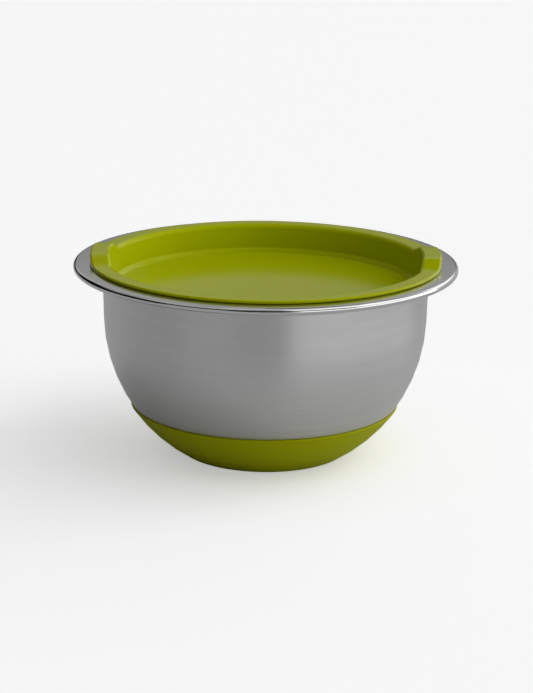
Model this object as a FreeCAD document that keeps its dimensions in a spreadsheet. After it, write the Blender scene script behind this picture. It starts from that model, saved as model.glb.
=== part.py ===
"""Mixing bowl: a pressed steel bowl with a rolled rim, a bonded non-slip base and a tray lid.

Frame: millimetres, +Z up, origin at the centre of the base's underside, so the bowl stands on Z = 0.
The lid's two grip tabs are on the X axis.

Every piece is a solid of revolution about Z, apart from the lid's tabs.  The bowl's belly and the
outside of its base are parts of two spheres about one centre on the axis, so the base is a layer of
even thickness over the steel.
"""
import FreeCAD, Part
import math
import os
import Sketcher

# Driving dimensions: alias, value in millimetres or degrees, meaning
DIMENSIONS = [
    ("rim_radius", 116.0, "outermost radius, on the rolled rim"),
    ("flange_height", 117.4, "top of the flange above the table"),
    ("sheet", 0.8, "thickness of the steel"),
    ("roll_radius", 2.1, "outer radius of the rolled rim"),
    ("roll_end", 160.0, "angle at which the roll's free edge stops"),
    ("belly_radius", 97.9, "outer radius of the steel's spherical belly"),
    ("belly_height", 84.9, "height of the belly's centre"),
    ("wall_flare", 1.2, "angle of the straight wall from the vertical"),
    ("mouth_bend", 3.0, "bend between wall and flange, on the food side"),
    ("floor_bend", 12.0, "bend between the flat floor and the belly, on the food side"),
    ("base_floor", 2.0, "thickness of the base under the steel's flat floor"),
    ("base_radius", 99.0, "outer radius of the base's spherical side"),
    ("lip_height", 30.2, "height at which the base ends on the steel"),
    ("lip_round", 0.7, "rounding of the base's upper edge"),
    ("foot_round", 3.0, "rounding of the base's lower edge"),
    ("recess_radius", 38.0, "radius of the shallow recess under the base"),
    ("recess_depth", 0.6, "depth of the recess under the base"),
    ("lid_radius", 106.0, "outer radius of the lid's ring"),
    ("ring_height", 2.1, "top of the ring above the flange"),
    ("gap_height", 0.5, "shadow gap under the ring's outer edge"),
    ("gap_width", 1.2, "width of the shadow gap"),
    ("plug_radius", 97.0, "outer radius of the plug where it leaves the ring"),
    ("mouth_radius", 94.4, "inner radius of the ring and of the tabs"),
    ("neck_depth", 4.0, "depth of the upright part of the tray's wall, below the ring"),
    ("ledge_radius", 92.8, "outer radius of the sloped band at the foot of the tray's wall"),
    ("ledge_depth", 15.0, "depth of the band's outer edge below the ring"),
    ("tray_radius", 90.4, "radius of the tray's flat floor"),
    ("tray_depth", 17.5, "depth of the flat floor below the ring"),
    ("lid_wall", 2.1, "thickness of the tray's wall and floor"),
    ("mouth_round", 3.3, "rounding of the ring's inner edge"),
    ("ring_round", 0.8, "rounding of the ring's outer edge"),
    ("tray_round", 0.8, "rounding between the tray's wall and the band"),
    ("plug_round", 2.5, "rounding of the plug's lower edge"),
    ("tab_height", 4.5, "height of a grip tab above the ring"),
    ("tab_half", 12.8, "half the length of a tab's flat top"),
    ("ramp_length", 19.0, "length of the ramp at each end of a tab"),
]
MARGIN = 1.0                    # how far a cutting outline runs past what it removes
START, END, CENTRE = 1, 2, 3    # the points of a sketch line or arc
ORIGIN = (-1, 1)                # a sketch's origin point
LEVEL, AXIS = -1, -2            # a sketch's horizontal axis, and its vertical one, which is Z here
SAME_PLACE = 0.05               # how near an edge must be to the place that names it
EDGE_SAMPLES = 7                # points looked at along an edge to find its place
FULL_TURN = 360.0
TOP_OF_ARC = 90.0               # direction of an arc's highest point from its centre
BOTTOM_OF_ARC = 270.0           # direction of its lowest point


class Size:
    """A number together with the expression over the sheet that gives it."""

    def __init__(self, value, text=None):
        self.value = float(value)
        self.text = text or repr(float(value))

    def combine(self, other, sign, value):
        return Size(value, f"({self.text} {sign} {other.text})")

    def __add__(self, other):
        other = as_size(other)
        return self.combine(other, "+", self.value + other.value)

    def __sub__(self, other):
        other = as_size(other)
        return self.combine(other, "-", self.value - other.value)

    def __mul__(self, other):
        other = as_size(other)
        return self.combine(other, "*", self.value * other.value)

    def __truediv__(self, other):
        other = as_size(other)
        return self.combine(other, "/", self.value / other.value)

    def squared(self):
        return self * self


def as_size(amount):
    return amount if isinstance(amount, Size) else Size(amount)


def make_sheet(document):
    """Write the driving dimensions into a spreadsheet and return them by alias."""
    sheet = document.addObject("Spreadsheet::Sheet", "dims")
    sizes = {}
    for row, (alias, value, meaning) in enumerate(DIMENSIONS, start=1):
        sheet.set(f"A{row}", alias)
        sheet.set(f"B{row}", str(value))
        sheet.set(f"C{row}", meaning)
        sheet.setAlias(f"B{row}", alias)
        sizes[alias] = Size(value, f"dims.{alias}")
    document.recompute()
    return sizes


doc = FreeCAD.newDocument("MixingBowl")
D = make_sheet(doc)
ZERO = Size(0)


# ---- sketch helpers: x is the distance from the Z axis, z the height ----

def sketch_in(body, name, role="XZ_Plane"):
    """An empty sketch on one of the body's own origin planes."""
    plane = next(item for item in body.Origin.OriginFeatures if item.Role == role)
    sketch = body.newObject("Sketcher::SketchObject", name)
    sketch.AttachmentSupport = [(plane, "")]
    sketch.MapMode = "FlatFace"
    return sketch


def drive(sketch, size, kind, *where):
    """Add a dimension and bind it to the sheet."""
    index = sketch.addConstraint(Sketcher.Constraint(kind, *where, size.value))
    sketch.setExpression(f"Constraints[{index}]", size.text)


def place(sketch, geometry, end, x=None, z=None):
    """Hold a point at a distance from the axis and at a height; zero puts it on that axis."""
    for kind, axis, size in (("DistanceX", AXIS, x), ("DistanceY", LEVEL, z)):
        if size is None:
            continue
        if size.value == 0:
            sketch.addConstraint(Sketcher.Constraint("PointOnObject", geometry, end, axis))
        else:
            drive(sketch, size, kind, *ORIGIN, geometry, end)


def line(sketch, start, finish):
    ends = [FreeCAD.Vector(x, z, 0) for x, z in (start, finish)]
    return sketch.addGeometry(Part.LineSegment(*ends), False)


def arc(sketch, centre, radius, from_angle, to_angle):
    """An arc drawn anticlockwise between two angles in degrees, its radius bound to the sheet."""
    circle = Part.Circle(FreeCAD.Vector(*centre, 0), FreeCAD.Vector(0, 0, 1), radius.value)
    ends = [math.radians(from_angle), math.radians(to_angle)]
    index = sketch.addGeometry(Part.ArcOfCircle(circle, *ends), False)
    drive(sketch, radius, "Radius", index)
    return index


def join(sketch, first, first_end, second, second_end, kind="Coincident"):
    sketch.addConstraint(Sketcher.Constraint(kind, first, first_end, second, second_end))


def outline(sketch, corners):
    """A closed outline of straight lines through the corners, each held in x and z."""
    count = len(corners)
    places = [(x.value, z.value) for x, z in corners]
    sides = [line(sketch, places[i], places[(i + 1) % count]) for i in range(count)]
    for i in range(count):
        join(sketch, sides[i], END, sides[(i + 1) % count], START)
        place(sketch, sides[i], START, *corners[i])


def cup_outline(sketch, radius, floor, top, brim):
    """Half the section of a solid cup: flat floor, spherical belly and a flared straight wall.

    The wall ends at the height top, and the corners of brim lead from there back to the axis.
    """
    flare = math.radians(D["wall_flare"].value)
    centre = (0.0, D["belly_height"].value)
    low_angle = math.degrees(math.asin((floor.value - centre[1]) / radius.value))
    low_x = radius.value * math.cos(math.radians(low_angle))
    tangent = (radius.value * math.cos(flare), centre[1] - radius.value * math.sin(flare))
    wall_top = (tangent[0] + (top.value - tangent[1]) * math.tan(flare), top.value)

    floor_line = line(sketch, (0.0, floor.value), (low_x, floor.value))
    belly = arc(sketch, centre, radius, low_angle, -D["wall_flare"].value)
    wall = line(sketch, tangent, wall_top)
    corners = [wall_top] + [(x.value, z.value) for x, z in brim] + [(0.0, floor.value)]
    rest = [line(sketch, a, b) for a, b in zip(corners, corners[1:])]

    place(sketch, floor_line, START, ZERO, floor)
    place(sketch, floor_line, END, None, floor)
    join(sketch, floor_line, END, belly, START)
    place(sketch, belly, CENTRE, ZERO, D["belly_height"])
    join(sketch, belly, END, wall, START, "Tangent")
    drive(sketch, Size(90) - D["wall_flare"], "Angle", wall)
    place(sketch, wall, END, None, top)
    join(sketch, wall, END, rest[0], START)
    for before, after, (x, z) in zip(rest, rest[1:], brim):
        join(sketch, before, END, after, START)
        place(sketch, before, END, x, z)
    join(sketch, rest[-1], END, floor_line, START)


# ---- feature helpers ----

def turn(body, sketch, name, cutting=False):
    """Revolve a sketch a full turn about Z, adding it to the body or cutting it away."""
    kind = "PartDesign::Groove" if cutting else "PartDesign::Revolution"
    before = body.Shape.Volume if cutting else 0.0
    feature = body.newObject(kind, name)
    feature.Profile = sketch
    feature.ReferenceAxis = (sketch, ["V_Axis"])
    feature.Angle = FULL_TURN
    doc.recompute()
    if cutting and feature.Shape.Volume >= before:
        raise RuntimeError(f"{name} cuts nothing")
    return feature


def edges_round_z(shape, x, low, high):
    """Names of the edges that stay at the distance x from Z and between two heights all along."""
    names = []
    for index, edge in enumerate(shape.Edges, start=1):
        points = edge.discretize(EDGE_SAMPLES)
        at_x = all(abs(math.hypot(p.x, p.y) - x) < SAME_PLACE for p in points)
        between = all(low - SAME_PLACE < p.z < high + SAME_PLACE for p in points)
        if at_x and between:
            names.append(f"Edge{index}")
    return names


def circles(shape, x, z):
    """Names of the level circles about Z at this distance and height."""
    return edges_round_z(shape, x, z, z)


def round_off(body, name, base, edges, radius):
    """Fillet the named edges of the base feature."""
    if not edges:
        raise RuntimeError(f"{name} found no edge")
    fillet = body.newObject("PartDesign::Fillet", name)
    fillet.Base = (base, edges)
    fillet.Radius = radius.value
    fillet.setExpression("Radius", radius.text)
    doc.recompute()
    return fillet


def new_body(label):
    body = doc.addObject("PartDesign::Body", label)
    body.Label = label
    return body


def sphere_x(radius, height):
    """Distance from Z of a sphere about the belly's centre, at a height."""
    return math.sqrt(radius.value ** 2 - (D["belly_height"].value - height.value) ** 2)


def wall_x(radius, height):
    """Distance from Z of the straight wall that is tangent to a belly of this radius."""
    flare = math.radians(D["wall_flare"].value)
    rise = height.value - D["belly_height"].value
    return radius.value / math.cos(flare) + rise * math.tan(flare)


# ---- bowl_shell: one pressed sheet, from the flat floor to the rolled rim ----

def make_bowl_shell():
    body = new_body("bowl_shell")
    sheet = D["sheet"]
    flange_top = D["flange_height"]
    flange_under = flange_top - sheet
    roll_x = D["rim_radius"] - D["roll_radius"]
    steel_floor = D["base_floor"]
    food_floor = steel_floor + sheet
    food_radius = D["belly_radius"] - sheet

    outside = sketch_in(body, "steel_outside")
    brim = [(roll_x, flange_under), (roll_x, flange_top), (ZERO, flange_top)]
    cup_outline(outside, D["belly_radius"], steel_floor, flange_under, brim)
    turn(body, outside, "outer_form")

    inside = sketch_in(body, "steel_inside")
    above = flange_top + MARGIN
    cup_outline(inside, food_radius, food_floor, above, [(ZERO, above)])
    hollow = turn(body, inside, "hollow", cutting=True)

    floor_edge = circles(hollow.Shape, sphere_x(food_radius, food_floor), food_floor.value)
    bend = round_off(body, "floor_bend_inside", hollow, floor_edge, D["floor_bend"])
    under_edge = circles(bend.Shape, sphere_x(D["belly_radius"], steel_floor), steel_floor.value)
    bend = round_off(body, "floor_bend_outside", bend, under_edge, D["floor_bend"] + sheet)
    mouth_edge = circles(bend.Shape, wall_x(food_radius, flange_top), flange_top.value)
    bend = round_off(body, "mouth_bend_inside", bend, mouth_edge, D["mouth_bend"])
    neck_edge = circles(bend.Shape, wall_x(D["belly_radius"], flange_under), flange_under.value)
    round_off(body, "mouth_bend_outside", bend, neck_edge, D["mouth_bend"] - sheet)

    add_roll(body, roll_x)
    return body


def add_roll(body, roll_x):
    """The sheet's edge, rolled outwards and under the flange into an almost closed tube."""
    sketch = sketch_in(body, "roll_section")
    roll_z = D["flange_height"] - D["roll_radius"]
    centre = (roll_x.value, roll_z.value)
    end_angle = D["roll_end"].value
    top_angle = TOP_OF_ARC + FULL_TURN
    skin = arc(sketch, centre, D["roll_radius"], end_angle, top_angle)
    bore = arc(sketch, centre, D["roll_radius"] - D["sheet"], end_angle, top_angle)

    def on_circle(radius, angle):
        turned = math.radians(angle)
        return centre[0] + radius * math.cos(turned), centre[1] + radius * math.sin(turned)

    outer = D["roll_radius"].value
    inner = outer - D["sheet"].value
    free_edge = line(sketch, on_circle(inner, end_angle), on_circle(outer, end_angle))
    root = line(sketch, on_circle(inner, TOP_OF_ARC), on_circle(outer, TOP_OF_ARC))
    join(sketch, skin, CENTRE, bore, CENTRE)
    place(sketch, skin, CENTRE, roll_x, roll_z)
    join(sketch, free_edge, START, bore, START)
    join(sketch, free_edge, END, skin, START)
    join(sketch, root, START, bore, END)
    join(sketch, root, END, skin, END)
    sketch.addConstraint(Sketcher.Constraint("Vertical", root))
    sketch.addConstraint(Sketcher.Constraint("PointOnObject", skin, CENTRE, root))
    sketch.addConstraint(Sketcher.Constraint("PointOnObject", skin, CENTRE, free_edge))
    drive(sketch, D["roll_end"], "Angle", free_edge)
    turn(body, sketch, "rolled_rim")


# ---- nonslip_base: a soft cap bonded to the bottom of the steel ----

def make_nonslip_base():
    body = new_body("nonslip_base")
    centre = (0.0, D["belly_height"].value)
    lip_angle = math.asin((D["lip_height"].value - centre[1]) / D["belly_radius"].value)
    lip_in = (sphere_x(D["belly_radius"], D["lip_height"]), D["lip_height"].value)
    reach = D["base_radius"].value
    lip_out = (reach * math.cos(lip_angle), centre[1] + reach * math.sin(lip_angle))
    foot = (sphere_x(D["base_radius"], ZERO), 0.0)
    seat = (sphere_x(D["belly_radius"], D["base_floor"]), D["base_floor"].value)

    def low_angle(corner):
        return math.degrees(math.atan2(corner[1] - centre[1], corner[0]))

    section = sketch_in(body, "base_section")
    underside = line(section, (0.0, 0.0), foot)
    side = arc(section, centre, D["base_radius"], low_angle(foot), math.degrees(lip_angle))
    lip = line(section, lip_out, lip_in)
    bond = arc(section, centre, D["belly_radius"], low_angle(seat), math.degrees(lip_angle))
    floor = line(section, seat, (0.0, seat[1]))
    middle = line(section, (0.0, seat[1]), (0.0, 0.0))
    place(section, side, CENTRE, ZERO, D["belly_height"])
    join(section, side, CENTRE, bond, CENTRE)
    join(section, middle, END, *ORIGIN)
    join(section, underside, START, middle, END)
    join(section, underside, END, side, START)
    join(section, side, END, lip, START)
    join(section, lip, END, bond, END)
    join(section, bond, START, floor, START)
    join(section, floor, END, middle, START)
    place(section, underside, END, None, ZERO)
    place(section, bond, END, None, D["lip_height"])
    place(section, floor, START, None, D["base_floor"])
    place(section, floor, END, ZERO, D["base_floor"])
    section.addConstraint(Sketcher.Constraint("PointOnObject", side, CENTRE, lip))
    cap = turn(body, section, "cap")

    foot_edge = circles(cap.Shape, *foot)
    cap = round_off(body, "foot_rounding", cap, foot_edge, D["foot_round"])
    lip_edge = circles(cap.Shape, *lip_out)
    cap = round_off(body, "lip_rounding", cap, lip_edge, D["lip_round"])
    seat_edge = circles(cap.Shape, *seat)
    cap = round_off(body, "seat_bend", cap, seat_edge, D["floor_bend"] + D["sheet"])

    recess = sketch_in(body, "recess_section")
    depth = D["recess_depth"]
    radius = D["recess_radius"]
    slope = radius - depth * 2
    outline(recess, [(ZERO, ZERO), (radius, ZERO), (slope, depth), (ZERO, depth)])
    turn(body, recess, "foot_recess", cutting=True)
    return body


# ---- lid: ring on the flange, plug in the mouth, tray in the middle, two grip tabs ----

def make_lid():
    body = new_body("lid")
    seat = D["flange_height"]
    ring_top = seat + D["ring_height"]
    tab_top = ring_top + D["tab_height"]
    gap = seat + D["gap_height"]
    gap_x = D["lid_radius"] - D["gap_width"]
    ledge_z = ring_top - D["ledge_depth"]
    floor_z = ring_top - D["tray_depth"]
    under_z = floor_z - D["lid_wall"]
    plug_low_x = D["ledge_radius"] + D["lid_wall"]

    blank = sketch_in(body, "lid_outside")
    outline(blank, [
        (ZERO, under_z), (D["tray_radius"] + D["lid_wall"], under_z), (plug_low_x, ledge_z),
        (D["plug_radius"], seat), (gap_x, seat), (gap_x, gap), (D["lid_radius"], gap),
        (D["lid_radius"], ring_top), (ZERO, ring_top),
    ])
    turn(body, blank, "lid_blank")
    add_tab_bar(body, ring_top)

    beyond = sketch_in(body, "trim_section")
    far_x = D["lid_radius"] + D["ramp_length"]
    above = tab_top + MARGIN
    outline(beyond, [(D["lid_radius"], seat - MARGIN), (far_x, seat - MARGIN), (far_x, above),
                     (D["lid_radius"], above)])
    turn(body, beyond, "tab_trim", cutting=True)

    tray = sketch_in(body, "tray_section")
    outline(tray, [
        (ZERO, floor_z), (D["tray_radius"], floor_z), (D["ledge_radius"], ledge_z),
        (D["mouth_radius"], ring_top - D["neck_depth"]), (D["mouth_radius"], above), (ZERO, above),
    ])
    feature = turn(body, tray, "tray", cutting=True)

    crown = ring_top.value, tab_top.value
    ring_edges = edges_round_z(feature.Shape, D["lid_radius"].value, *crown)
    feature = round_off(body, "ring_rounding", feature, ring_edges, D["ring_round"])
    mouth_edges = edges_round_z(feature.Shape, D["mouth_radius"].value, *crown)
    feature = round_off(body, "mouth_rounding", feature, mouth_edges, D["mouth_round"])
    foot_edges = circles(feature.Shape, D["ledge_radius"].value, ledge_z.value)
    feature = round_off(body, "tray_rounding", feature, foot_edges, D["tray_round"])
    plug_edges = circles(feature.Shape, (D["tray_radius"] + D["lid_wall"]).value, under_z.value)
    plug_edges += circles(feature.Shape, plug_low_x.value, ledge_z.value)
    round_off(body, "plug_rounding", feature, plug_edges, D["plug_round"])
    return body


def add_tab_bar(body, ring_top):
    """One bar across the whole lid with the tabs' side profile; the tray and the trim leave its ends.

    Each ramp is two equal arcs, level where it meets the ring and the tab's top, and tangent
    where they meet each other half way.
    """
    half = D["tab_half"]
    ramp = D["ramp_length"]
    rise = D["tab_height"]
    ramp_radius = (ramp.squared() + rise.squared()) / (rise * 4)
    slope = math.degrees(2 * math.atan(rise.value / ramp.value))
    reach = half + ramp
    tab_top = ring_top + rise
    sunk = ring_top - MARGIN

    side = sketch_in(body, "tab_side", "YZ_Plane")
    foot_centre = (reach.value, (ring_top + ramp_radius).value)
    brow_centre = (half.value, (tab_top - ramp_radius).value)

    top = line(side, (-half.value, tab_top.value), (half.value, tab_top.value))
    brow = arc(side, brow_centre, ramp_radius, TOP_OF_ARC - slope, TOP_OF_ARC)
    foot = arc(side, foot_centre, ramp_radius, BOTTOM_OF_ARC - slope, BOTTOM_OF_ARC)
    end = line(side, (reach.value, ring_top.value), (reach.value, sunk.value))
    bottom = line(side, (reach.value, sunk.value), (-reach.value, sunk.value))
    other_end = line(side, (-reach.value, sunk.value), (-reach.value, ring_top.value))
    other_foot_centre = (-foot_centre[0], foot_centre[1])
    other_brow_centre = (-brow_centre[0], brow_centre[1])
    other_foot = arc(side, other_foot_centre, ramp_radius, BOTTOM_OF_ARC, BOTTOM_OF_ARC + slope)
    other_brow = arc(side, other_brow_centre, ramp_radius, TOP_OF_ARC, TOP_OF_ARC + slope)

    join(side, top, END, brow, END, "Tangent")
    join(side, brow, START, foot, START, "Tangent")
    join(side, foot, END, end, START)
    join(side, end, END, bottom, START)
    join(side, bottom, END, other_end, START)
    join(side, other_end, END, other_foot, START)
    join(side, other_foot, END, other_brow, END, "Tangent")
    join(side, other_brow, START, top, START, "Tangent")
    for upright in (end, other_end):
        side.addConstraint(Sketcher.Constraint("Vertical", upright))
    place(side, top, END, half, tab_top)
    place(side, end, END, reach, sunk)
    side.addConstraint(Sketcher.Constraint("Symmetric", top, START, top, END, AXIS))
    side.addConstraint(Sketcher.Constraint("Symmetric", bottom, START, bottom, END, AXIS))

    width = D["lid_radius"] * 2
    bar = body.newObject("PartDesign::Pad", "tab_bar")
    bar.Profile = side
    bar.Midplane = True
    bar.Length = width.value
    bar.setExpression("Length", width.text)
    doc.recompute()


# ---- build, check and export ----

def check(bodies):
    """Stop with a message if any object failed or any piece is not one valid solid."""
    for item in doc.Objects:
        if {"Invalid", "Error"} & set(item.State):
            raise RuntimeError(f"{item.Name} failed: {item.State}")
    for body in bodies:
        shape = body.Shape
        if shape.isNull() or not shape.isValid() or len(shape.Solids) != 1:
            raise RuntimeError(f"{body.Label} is not one valid solid")


bodies = [make_bowl_shell(), make_nonslip_base(), make_lid()]
doc.recompute()
check(bodies)
os.makedirs("parts", exist_ok=True)
for piece in bodies:
    piece.Shape.exportStep(f"parts/{piece.Label}.step")
    box = piece.Shape.BoundBox
    print(f"{piece.Label}: volume {piece.Shape.Volume:.0f} mm3, Z {box.ZMin:.2f} to {box.ZMax:.2f}")
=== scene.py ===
# Mixing bowl: the looks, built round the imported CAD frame.  Metres, +Z up, the bowl stands on Z = 0.
# Every piece is one closed skin: its section is drawn as (distance from Z, height) and swept round Z.
import math

import bmesh
import bpy
from mathutils import Matrix, Vector


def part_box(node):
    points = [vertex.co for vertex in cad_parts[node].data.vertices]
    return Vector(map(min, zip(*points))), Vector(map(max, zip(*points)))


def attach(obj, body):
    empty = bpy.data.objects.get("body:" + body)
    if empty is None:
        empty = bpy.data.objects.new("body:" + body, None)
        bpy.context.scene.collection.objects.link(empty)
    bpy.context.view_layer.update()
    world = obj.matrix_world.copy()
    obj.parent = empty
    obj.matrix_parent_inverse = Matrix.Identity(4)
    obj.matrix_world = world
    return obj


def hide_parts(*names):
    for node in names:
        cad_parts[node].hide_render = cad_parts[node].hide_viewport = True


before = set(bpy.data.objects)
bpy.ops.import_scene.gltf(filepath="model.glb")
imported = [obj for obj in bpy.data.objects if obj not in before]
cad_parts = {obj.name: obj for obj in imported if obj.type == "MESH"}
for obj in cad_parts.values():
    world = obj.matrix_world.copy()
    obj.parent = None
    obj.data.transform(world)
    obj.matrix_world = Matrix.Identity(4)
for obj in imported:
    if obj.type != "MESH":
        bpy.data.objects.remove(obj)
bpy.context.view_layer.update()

MM = 0.001
bowl_low, bowl_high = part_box("bowl_shell")
_, base_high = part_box("nonslip_base")
lid_low, lid_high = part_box("lid")

# ---- sizes; the first ones are read from the frame ----
RIM_X = bowl_high.x
FLANGE_Z = bowl_high.z
STEEL_FLOOR_Z = bowl_low.z
LIP_Z = base_high.z
LID_UNDER_Z = lid_low.z
TAB_TOP_Z = lid_high.z

SHEET = 0.8 * MM
ROLL_RADIUS = 2.1 * MM
ROLL_END = -200.0               # direction of the roll's free edge from the roll's centre
BELLY_RADIUS = 97.9 * MM
BELLY_Z = 84.9 * MM
WALL_FLARE = 1.2
MOUTH_BEND = 3.0 * MM
FLOOR_BEND = 12.0 * MM

BASE_RADIUS = 99.0 * MM
LIP_ROUND = 0.7 * MM
LIP_INNER_ROUND = 0.3 * MM
FOOT_ROUND = 3.0 * MM
RECESS_X = 38.0 * MM
RECESS_DEPTH = 0.6 * MM

LID_X = 106.0 * MM
RING_HEIGHT = 2.1 * MM
GAP_HEIGHT = 0.5 * MM
GAP_WIDTH = 1.2 * MM
PLUG_X = 97.0 * MM
MOUTH_X = 94.4 * MM
NECK_DEPTH = 4.0 * MM
LEDGE_X = 92.8 * MM
LEDGE_DEPTH = 15.0 * MM
TRAY_X = 90.4 * MM
LID_WALL = 2.1 * MM
MOUTH_ROUND = 3.3 * MM
RING_ROUND = 0.8 * MM
TAB_OUTER_ROUND = 1.4 * MM
TAB_INNER_ROUND = 1.6 * MM
EDGE_FLAT = 0.3 * MM            # level strip beside the largest rounding on each side of the crown
TRAY_ROUND = 0.8 * MM
CREASE = 0.4 * MM               # fine crease moulded where the sloped band meets the tray's floor
PLUG_ROUND = 2.5 * MM
TAB_HALF = 12.8 * MM
RAMP_LENGTH = 19.0 * MM

SEGMENTS = 360                  # faces round a full turn
TAB_SPAN = 20                   # degrees each side of a tab's middle where faces are half as wide
ARC_STEP = 7.0                  # degrees turned by each face along an arc of a section
LONGEST_FACE = 7.0 * MM
LARGE_FACE_SHARE = 60           # how much large faces outweigh small ones in the shading


# ---- sections ----

def arc(centre, radius, start, end):
    """Points along an arc between two directions in degrees, both ends included."""
    count = max(2, math.ceil(abs(end - start) / ARC_STEP))
    turned = [math.radians(start + (end - start) * i / count) for i in range(count + 1)]
    return [(centre[0] + radius * math.cos(a), centre[1] + radius * math.sin(a)) for a in turned]


def rounded(corners):
    """Straight runs through corners (x, z, rounding); the first and last corners stay sharp."""
    points = [corners[0][:2]]
    for before, corner, after in zip(corners, corners[1:], corners[2:]):
        if not corner[2]:
            points.append(corner[:2])
            continue
        tip = Vector(corner[:2])
        back = (Vector(before[:2]) - tip).normalized()
        ahead = (Vector(after[:2]) - tip).normalized()
        half = back.angle(ahead) / 2
        centre = tip + (back + ahead).normalized() * corner[2] / math.sin(half)
        ends = [tip + side * corner[2] / math.tan(half) - centre for side in (back, ahead)]
        start, end = [math.degrees(math.atan2(v.y, v.x)) for v in ends]
        end = start + (end - start + 180) % 360 - 180
        points += arc(centre, corner[2], start, end)
    return points + [corners[-1][:2]]


def filled(points):
    """The same run with its long stretches divided."""
    result = [points[0]]
    for (x0, z0), (x1, z1) in zip(points, points[1:]):
        count = max(1, math.ceil(math.hypot(x1 - x0, z1 - z0) / LONGEST_FACE))
        result += [(x0 + (x1 - x0) * i / count, z0 + (z1 - z0) * i / count) for i in range(1, count + 1)]
    return result


def cup_side(radius, floor_z, bend, top_z, mouth_bend, mouth_x):
    """One face of the sheet: floor, bend, spherical belly, flared wall, mouth bend, out to mouth_x."""
    bend_x = math.sqrt((radius - bend) ** 2 - (BELLY_Z - floor_z - bend) ** 2)
    low = math.degrees(math.atan2(floor_z + bend - BELLY_Z, bend_x))
    flare = math.radians(WALL_FLARE)
    belly = arc((0.0, BELLY_Z), radius, low, -WALL_FLARE)
    wall_x = belly[-1][0] + (top_z - belly[-1][1]) * math.tan(flare)
    mouth = rounded([belly[-1] + (0,), (wall_x, top_z, mouth_bend), (mouth_x, top_z, 0)])
    return [(0.0, floor_z)] + arc((bend_x, floor_z + bend), bend, -90, low) + belly[1:] + mouth[1:]


def shell_section():
    roll = (RIM_X - ROLL_RADIUS, FLANGE_Z - ROLL_RADIUS)
    outside = cup_side(BELLY_RADIUS, STEEL_FLOOR_Z, FLOOR_BEND + SHEET, FLANGE_Z - SHEET,
                       MOUTH_BEND - SHEET, roll[0])
    inside = cup_side(BELLY_RADIUS - SHEET, STEEL_FLOOR_Z + SHEET, FLOOR_BEND, FLANGE_Z,
                      MOUTH_BEND, roll[0])
    bore = arc(roll, ROLL_RADIUS - SHEET, 90, ROLL_END)
    skin = arc(roll, ROLL_RADIUS, ROLL_END, 90)
    return filled(outside[:-1] + bore + skin + inside[-2::-1])


def base_section():
    lip_turn = math.asin((LIP_Z - BELLY_Z) / BELLY_RADIUS)
    lip = [(r * math.cos(lip_turn), BELLY_Z + r * math.sin(lip_turn)) for r in (BASE_RADIUS, BELLY_RADIUS)]
    foot_x = math.sqrt((BASE_RADIUS - FOOT_ROUND) ** 2 - (BELLY_Z - FOOT_ROUND) ** 2)
    foot_turn = math.degrees(math.atan2(FOOT_ROUND - BELLY_Z, foot_x))
    lip_degrees = math.degrees(lip_turn)
    lip_share = math.degrees(LIP_ROUND / BASE_RADIUS)
    under = rounded([(0.0, RECESS_DEPTH, 0), (RECESS_X - 2 * RECESS_DEPTH, RECESS_DEPTH, RECESS_DEPTH),
                     (RECESS_X, 0.0, RECESS_DEPTH), (foot_x, 0.0, 0)])
    foot = arc((foot_x, FOOT_ROUND), FOOT_ROUND, -90, foot_turn)
    side = arc((0.0, BELLY_Z), BASE_RADIUS, foot_turn, lip_degrees - 2 * lip_share)
    inner = arc((0.0, BELLY_Z), BELLY_RADIUS, lip_degrees - 2 * lip_share, seat_turn())
    top = rounded([side[-1] + (0,), lip[0] + (LIP_ROUND,), lip[1] + (LIP_INNER_ROUND,), inner[0] + (0,)])
    bend = FLOOR_BEND + SHEET
    seat_x = (BELLY_RADIUS - bend) * math.cos(math.radians(seat_turn()))
    seat = arc((seat_x, STEEL_FLOOR_Z + bend), bend, seat_turn(), -90)
    return filled(under + foot[1:] + side[1:] + top[1:] + inner[1:] + seat[1:] + [(0.0, STEEL_FLOOR_Z)])


def seat_turn():
    """Direction, from the belly's centre, in which the belly ends at the bend of the floor."""
    bend = FLOOR_BEND + SHEET
    return math.degrees(math.asin((STEEL_FLOOR_Z + bend - BELLY_Z) / (BELLY_RADIUS - bend)))


def tab_rise(y):
    """Height of a tab above the ring: two equal arcs make each ramp, level at both of its ends."""
    height = TAB_TOP_Z - FLANGE_Z - RING_HEIGHT
    radius = (RAMP_LENGTH ** 2 + height ** 2) / (4 * height)
    along = min(max(abs(y) - TAB_HALF, 0.0), RAMP_LENGTH)
    if along < RAMP_LENGTH / 2:
        return height - radius + math.sqrt(radius ** 2 - along ** 2)
    return radius - math.sqrt(radius ** 2 - (RAMP_LENGTH - along) ** 2)


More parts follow.
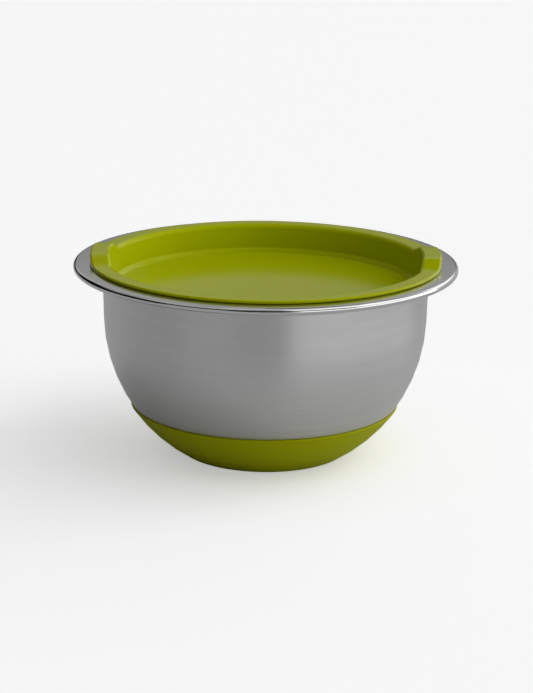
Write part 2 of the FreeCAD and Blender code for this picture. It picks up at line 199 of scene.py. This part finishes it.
def lid_section(turn):
    """The lid's section in the direction turn: the crown of the ring rises where the tabs are."""
    ring_z = FLANGE_Z + RING_HEIGHT
    ledge_z = ring_z - LEDGE_DEPTH
    floor_z = LID_UNDER_Z + LID_WALL
    share = tab_rise(LID_X * math.sin(turn)) / tab_rise(0.0)
    outer_round = RING_ROUND + (TAB_OUTER_ROUND - RING_ROUND) * share
    inner_round = MOUTH_ROUND + (TAB_INNER_ROUND - MOUTH_ROUND) * share
    under = rounded([
        (0.0, LID_UNDER_Z, 0), (TRAY_X + LID_WALL, LID_UNDER_Z, PLUG_ROUND),
        (LEDGE_X + LID_WALL, ledge_z, PLUG_ROUND), (PLUG_X, FLANGE_Z, 0), (LID_X - GAP_WIDTH, FLANGE_Z, 0),
        (LID_X - GAP_WIDTH, FLANGE_Z + GAP_HEIGHT, 0), (LID_X, FLANGE_Z + GAP_HEIGHT, 0)])
    crown = arc((LID_X - outer_round, ring_z - outer_round), outer_round, 0, 90)
    crown += [(LID_X - TAB_OUTER_ROUND - EDGE_FLAT, ring_z), (MOUTH_X + MOUTH_ROUND + EDGE_FLAT, ring_z)]
    crown += arc((MOUTH_X + inner_round, ring_z - inner_round), inner_round, 90, 180)
    crown = [(x, z + tab_rise(x * math.sin(turn))) for x, z in crown]
    tray = rounded([
        (MOUTH_X, ring_z - NECK_DEPTH, 0), (LEDGE_X, ledge_z, TRAY_ROUND),
        (TRAY_X + CREASE / 2, floor_z + CREASE / 2, CREASE / 4), (TRAY_X, floor_z - CREASE / 2, CREASE / 4),
        (TRAY_X - CREASE, floor_z, CREASE / 2), (0.0, floor_z, 0)])
    return filled(under) + crown + filled(tray)


# ---- meshes ----

def directions():
    """Directions round Z in radians, closer together where the tabs are."""
    whole = 360 / SEGMENTS
    turns = []
    for i in range(SEGMENTS):
        turns.append(i * whole)
        if (i * whole + TAB_SPAN) % 180 < 2 * TAB_SPAN:
            turns.append((i + 0.5) * whole)
    return [math.radians(t) for t in turns]


def sweep(name, section):
    """A closed skin: section(direction) gives the outline, from the axis out and back to the axis."""
    made = bmesh.new()
    rings = []
    for turn in directions():
        spot = [(x * math.cos(turn), x * math.sin(turn), z) for x, z in section(turn)]
        rings.append([made.verts.new(p) for p in spot[1:-1]])
    poles = [made.verts.new((0.0, 0.0, section(0.0)[i][1])) for i in (0, -1)]
    for ring, following in zip(rings, rings[1:] + rings[:1]):
        made.faces.new((poles[0], following[0], ring[0]))
        made.faces.new((poles[1], ring[-1], following[-1]))
        for i in range(len(ring) - 1):
            made.faces.new((ring[i], following[i], following[i + 1], ring[i + 1]))
    bmesh.ops.recalc_face_normals(made, faces=made.faces)
    mesh = bpy.data.meshes.new(name)
    made.to_mesh(mesh)
    made.free()
    mesh.shade_smooth()
    piece = bpy.data.objects.new(name, mesh)
    bpy.context.scene.collection.objects.link(piece)
    weighted = piece.modifiers.new("even_shading", "WEIGHTED_NORMAL")
    weighted.mode = "FACE_AREA"
    weighted.weight = LARGE_FACE_SHARE
    return piece


def make_piece(name, section, material, body, node):
    piece = sweep(name, section)
    piece.data.materials.append(material)
    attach(piece, body)
    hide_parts(node)
    return piece


# ---- materials ----

POLISHED_FROM = 99.5 * MM       # the flange and the rolled rim are polished, the rest is brushed
POLISHED_TO = 102.5 * MM
STEEL_DARK = (0.67, 0.667, 0.665)
STEEL_LIGHT = (0.76, 0.757, 0.755)
SATIN_ROUGH = (0.27, 0.33)
POLISHED_ROUGH = (0.13, 0.17)
SATIN_RELIEF = 0.10
POLISHED_RELIEF = 0.02
MARK_DEPTH = 0.05 * MM
MARK_RANGE = (0.40, 0.95)       # the values that the brush marks' noise takes
LIME_GLOSS = dict(Specular_IOR_Level=0.12, Specular_Tint=(0.80, 1.0, 0.0, 1.0))


def node(tree, kind, inputs=None, **settings):
    """Add a node; an input is given a value or linked to the socket that is passed."""
    made = tree.nodes.new("ShaderNode" + kind)
    for name, value in settings.items():
        setattr(made, name, value)
    for key, value in (inputs or {}).items():
        if isinstance(value, bpy.types.NodeSocket):
            tree.links.new(value, made.inputs[key])
        else:
            made.inputs[key].default_value = value
    return made


def new_material(name, **constants):
    """A material with a Principled shader whose even settings are set on its own sockets."""
    material = bpy.data.materials.new(name)
    material.use_nodes = True
    tree = material.node_tree
    shader = tree.nodes["Principled BSDF"]
    for key, value in constants.items():
        shader.inputs[key.replace("_", " ")].default_value = value
    return material, tree, shader


def noise(tree, place, scale, detail=2.0, roughness=0.5):
    inputs = {"Vector": place, "Scale": scale, "Detail": detail, "Roughness": roughness}
    return node(tree, "TexNoise", inputs).outputs["Fac"]


def spread(tree, value, low, high, from_low=0.3, from_high=0.7):
    """Map a noise value to a range."""
    inputs = {"Value": value, "From Min": from_low, "From Max": from_high, "To Min": low, "To Max": high}
    return node(tree, "MapRange", inputs).outputs["Result"]


def blend_colours(tree, share, first, second):
    inputs = {0: share, 6: first + (1.0,), 7: second + (1.0,)}
    return node(tree, "Mix", inputs, data_type="RGBA").outputs[2]


def total(tree, first, second, share=0.5):
    """The sum of two values, the second one times a share."""
    return node(tree, "Math", {0: second, 1: share, 2: first}, operation="MULTIPLY_ADD").outputs[0]


def reach_of(tree):
    """The level part of a place on the piece, its distance from Z, and its height."""
    place = node(tree, "TexCoord").outputs["Object"]
    parts = node(tree, "SeparateXYZ", {0: place}).outputs
    flat = node(tree, "CombineXYZ", {0: parts[0], 1: parts[1]}).outputs[0]
    reach = node(tree, "VectorMath", {0: flat}, operation="LENGTH").outputs["Value"]
    return flat, reach, parts[2]


def turned_place(tree, round_scale, across_scale):
    """Coordinates in which a noise is drawn out round Z, as the marks of turning and brushing are."""
    flat, reach, height = reach_of(tree)
    heading = node(tree, "VectorMath", {0: flat}, operation="NORMALIZE").outputs["Vector"]
    scaled = node(tree, "VectorMath", {0: heading, "Scale": round_scale}, operation="SCALE")
    around = scaled.outputs["Vector"]
    run = node(tree, "Math", {0: reach, 1: height}, operation="ADD").outputs[0]
    across = node(tree, "Math", {0: run, 1: across_scale}, operation="MULTIPLY").outputs[0]
    lifted = node(tree, "CombineXYZ", {2: across}).outputs[0]
    return node(tree, "VectorMath", {0: around, 1: lifted}, operation="ADD").outputs["Vector"]


def beyond(tree, start, end):
    """0 within the distance start from Z, 1 beyond end."""
    _, reach, _ = reach_of(tree)
    return spread(tree, reach, 0.0, 1.0, start, end)


def brushed_steel():
    material, tree, shader = new_material(
        "brushed_steel", Metallic=1.0, Anisotropic=0.75, Anisotropic_Rotation=0.25)
    fine = noise(tree, turned_place(tree, 2.0, 2600.0), 1.0, 3.0, 0.6)
    broad = noise(tree, turned_place(tree, 0.8, 320.0), 1.0, 3.0, 0.5)
    cloud = noise(tree, node(tree, "TexCoord").outputs["Object"], 22.0, 2.0)
    marks = total(tree, fine, broad, 0.35)
    shade = spread(tree, marks, 0.0, 1.0, *MARK_RANGE)
    colour = blend_colours(tree, shade, STEEL_DARK, STEEL_LIGHT)
    polished = beyond(tree, POLISHED_FROM, POLISHED_TO)
    satin = total(tree, spread(tree, marks, *SATIN_ROUGH, *MARK_RANGE), cloud, 0.04)
    shiny = spread(tree, marks, *POLISHED_ROUGH, *MARK_RANGE)
    rough = node(tree, "Mix", {0: polished, 2: satin, 3: shiny}, data_type="FLOAT").outputs[0]
    relief = spread(tree, polished, SATIN_RELIEF, POLISHED_RELIEF, 0.0, 1.0)
    bumps = node(tree, "Bump", {"Strength": relief, "Distance": MARK_DEPTH, "Height": fine})
    tree.links.new(colour, shader.inputs["Base Color"])
    tree.links.new(rough, shader.inputs["Roughness"])
    tree.links.new(bumps.outputs["Normal"], shader.inputs["Normal"])
    around = node(tree, "Tangent", direction_type="RADIAL", axis="Z").outputs[0]
    tree.links.new(around, shader.inputs["Tangent"])
    return material


def moulded(name, light, dark, rough, grain, grain_depth, **constants):
    """Moulded plastic or rubber: a fine eroded grain, faint flow clouds and uneven gloss."""
    material, tree, shader = new_material(name, **constants)
    place = node(tree, "TexCoord").outputs["Object"]
    texture = noise(tree, place, grain, 3.0, 0.6)
    flow = noise(tree, place, 14.0, 3.0, 0.55)
    wear = noise(tree, place, 60.0, 4.0, 0.6)
    share = spread(tree, total(tree, flow, texture, 0.35), 0.0, 1.0, 0.4, 1.0)
    colour = blend_colours(tree, share, dark, light)
    gloss = total(tree, spread(tree, wear, rough - 0.015, rough), texture, 0.02)
    height = total(tree, texture, wear, 0.1)
    bumps = node(tree, "Bump", {"Strength": 0.25, "Distance": grain_depth, "Height": height})
    tree.links.new(colour, shader.inputs["Base Color"])
    tree.links.new(gloss, shader.inputs["Roughness"])
    tree.links.new(bumps.outputs["Normal"], shader.inputs["Normal"])
    return material


steel = brushed_steel()
lime_plastic = moulded("lime_plastic", (0.48, 0.535, 0.0004), (0.465, 0.52, 0.0), 0.16,
                       1400.0, 0.008 * MM, IOR=1.49, **LIME_GLOSS)
lime_silicone = moulded("lime_silicone", (0.425, 0.455, 0.0004), (0.405, 0.435, 0.0), 0.52,
                        900.0, 0.02 * MM, IOR=1.41, **LIME_GLOSS)

# ---- pieces ----
steel_outline = shell_section()
base_outline = base_section()
make_piece("steel_bowl", lambda turn: steel_outline, steel, "bowl", "bowl_shell")
make_piece("silicone_base", lambda turn: base_outline, lime_silicone, "bowl", "nonslip_base")
make_piece("tray_lid", lid_section, lime_plastic, "lid", "lid")


# ---- floor, light and camera ----

FLOOR_SIZE = 60.0
FLOOR_DROP = 0.1 * MM
FLOOR_GREY = 0.85
FLOOR_GLOW = 0.45
TABLE_GREY = 0.70               # how much light the table throws back at the bowl


def make_plane(name, height, grey, glow=0.0):
    bpy.ops.mesh.primitive_plane_add(size=FLOOR_SIZE, location=(0, 0, height))
    plane = bpy.context.object
    plane.name = name
    material, _, _ = new_material(name, Base_Color=(grey, grey, grey, 1.0), Roughness=0.9,
                                  Emission_Color=(1.0, 1.0, 1.0, 1.0), Emission_Strength=glow)
    plane.data.materials.append(material)
    return plane


def make_floor():
    """A pale floor to look at, and under it a greyer one, which only throws light back at the bowl."""
    seen = make_plane("floor", -FLOOR_DROP, FLOOR_GREY, FLOOR_GLOW)
    seen.visible_diffuse = False
    seen.visible_glossy = False
    seen.visible_shadow = False
    table = make_plane("table", -2 * FLOOR_DROP, TABLE_GREY)
    table.visible_camera = False


# Soft panels round the bowl at infinity, in degrees: from and to round Z (0 is the camera's side,
# 90 its right), from and to above the level, how soft the edges are, and the strength.  The angles
# were chosen.  The strengths started as a least-squares fit made outside this script; all but one
# were then changed by hand.
PANELS = [
    # right of the camera: a bright wall in front, a key light above it and a narrow strip behind
    (18, 60, -12, 14, 6, 2.30),
    (60, 110, -12, 14, 6, 1.80),
    (60, 110, 14, 42, 6, 1.00),
    (18, 60, 42, 75, 6, 1.20),
    (60, 110, 42, 75, 6, 1.50),
    (109, 119, -12, 60, 3, 2.10),
    # behind the bowl, falling off to the left; the walls there start above a dark horizon
    (110, 165, -10, 10, 6, 0.60),
    (110, 165, 14, 34, 3, 1.30),
    (110, 165, 34, 70, 6, 0.35),
    (165, 200, 12, 34, 4, 0.45),
    (-200, -150, 12, 34, 4, 0.45),
    (-200, -110, 34, 70, 6, 0.35),
    # left of the camera: low walls and a weak fill light
    (-60, -20, -12, 14, 6, 0.36),
    (-60, -20, 42, 75, 6, 0.45),
    (-110, -60, 42, 75, 6, 0.52),
    # over the camera, and the ceiling
    (-20, 18, 42, 75, 6, 0.30),
    (-300, 300, 75, 120, 6, 0.75),
]


def window(tree, value, start, end, soft):
    """1 between two values of an angle in degrees, fading out over soft on each side of each edge."""
    ends = ((start - soft, start + soft), (end + soft, end - soft))
    sides = []
    for dark, bright in ends:
        inputs = {"Value": value, "From Min": dark, "From Max": bright, "To Min": 0.0, "To Max": 1.0}
        sides.append(node(tree, "MapRange", inputs, interpolation_type="SMOOTHSTEP").outputs["Result"])
    return node(tree, "Math", {0: sides[0], 1: sides[1]}, operation="MULTIPLY").outputs[0]


def make_world():
    """A dark world lit only by the soft panels."""
    world = bpy.data.worlds.new("studio")
    world.use_nodes = True
    bpy.context.scene.world = world
    tree = world.node_tree
    parts = node(tree, "SeparateXYZ", {0: node(tree, "TexCoord").outputs["Generated"]}).outputs
    away = node(tree, "Math", {0: parts[1], 1: -1.0}, operation="MULTIPLY").outputs[0]
    turn = node(tree, "Math", {0: parts[0], 1: away}, operation="ARCTAN2").outputs[0]
    rise = node(tree, "Math", {0: parts[2]}, operation="ARCSINE").outputs[0]
    around = node(tree, "Math", {0: turn}, operation="DEGREES").outputs[0]
    height = node(tree, "Math", {0: rise}, operation="DEGREES").outputs[0]
    light = 0.0
    for left, right, low, high, soft, strength in PANELS:
        across = window(tree, around, left, right, soft)
        upright = window(tree, height, low, high, soft)
        share = node(tree, "Math", {0: across, 1: upright}, operation="MULTIPLY").outputs[0]
        inputs = {0: share, 1: strength, 2: light}
        light = node(tree, "Math", inputs, operation="MULTIPLY_ADD").outputs[0]
    tree.links.new(light, tree.nodes["Background"].inputs["Color"])


CAMERA_DISTANCE = 1234.8 * MM
CAMERA_RISE = math.radians(15.68)
CAMERA_ROLL = math.radians(0.73)
CAMERA_AIM = Vector((1.0 * MM, 0.0, 63.6 * MM))
LENS = 104.9
SENSOR = 36.0


def make_camera():
    data = bpy.data.cameras.new("camera")
    data.lens = LENS
    data.sensor_width = SENSOR
    data.clip_start = 0.01
    data.clip_end = 100.0
    camera = bpy.data.objects.new("camera", data)
    bpy.context.scene.collection.objects.link(camera)
    back = Vector((0.0, -math.cos(CAMERA_RISE), math.sin(CAMERA_RISE)))
    camera.matrix_world = (
        Matrix.Translation(CAMERA_AIM + back * CAMERA_DISTANCE)
        @ back.to_track_quat("Z", "Y").to_matrix().to_4x4()
        @ Matrix.Rotation(CAMERA_ROLL, 4, "Z")
    )
    bpy.context.scene.camera = camera


make_floor()
make_world()
make_camera()
bpy.context.scene.view_settings.view_transform = "Standard"

bpy.context.view_layer.update()
